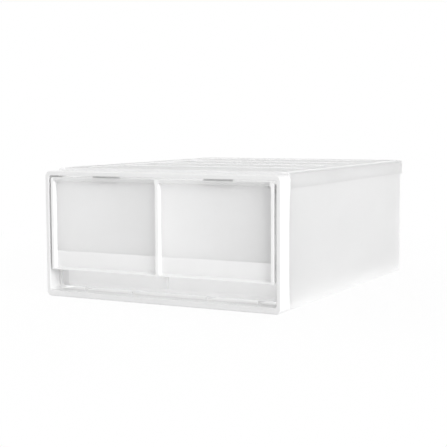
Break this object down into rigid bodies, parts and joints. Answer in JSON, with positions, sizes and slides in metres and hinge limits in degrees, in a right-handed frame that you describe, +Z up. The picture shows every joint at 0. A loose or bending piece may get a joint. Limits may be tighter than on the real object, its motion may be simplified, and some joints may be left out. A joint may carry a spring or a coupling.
{
  "type": "stackable drawer box",
  "caption": "Stackable frosted plastic drawer box with a white front frame, a lid with a locating plateau and a drawer with a finger grip under its two windows.",
  "frame": {"origin": "middle of the footprint, on the surface that the box stands on", "axes": "+X to the right of someone facing the drawer, +Y to the back of the box, +Z up"},
  "size_m": [0.372, 0.49, 0.1838],
  "materials": {
    "white_plastic": "opaque white polypropylene, satin gloss",
    "frosted_case": "frosted translucent polypropylene, milky, smooth outside",
    "frosted_drawer": "frosted translucent polypropylene, a little clearer than the case"
  },
  "bodies": {
    "case": {"front_frame": "white_plastic", "case_tub": "frosted_case", "top_cover": "frosted_case"},
    "sliding_drawer": {"drawer": "frosted_drawer"}
  },
  "joints": [
    {"name": "drawer_slide", "type": "slide", "parent": "case", "child": "sliding_drawer", "axis": [0, -1, 0], "range_m": [0, 0.467]}
  ]
}
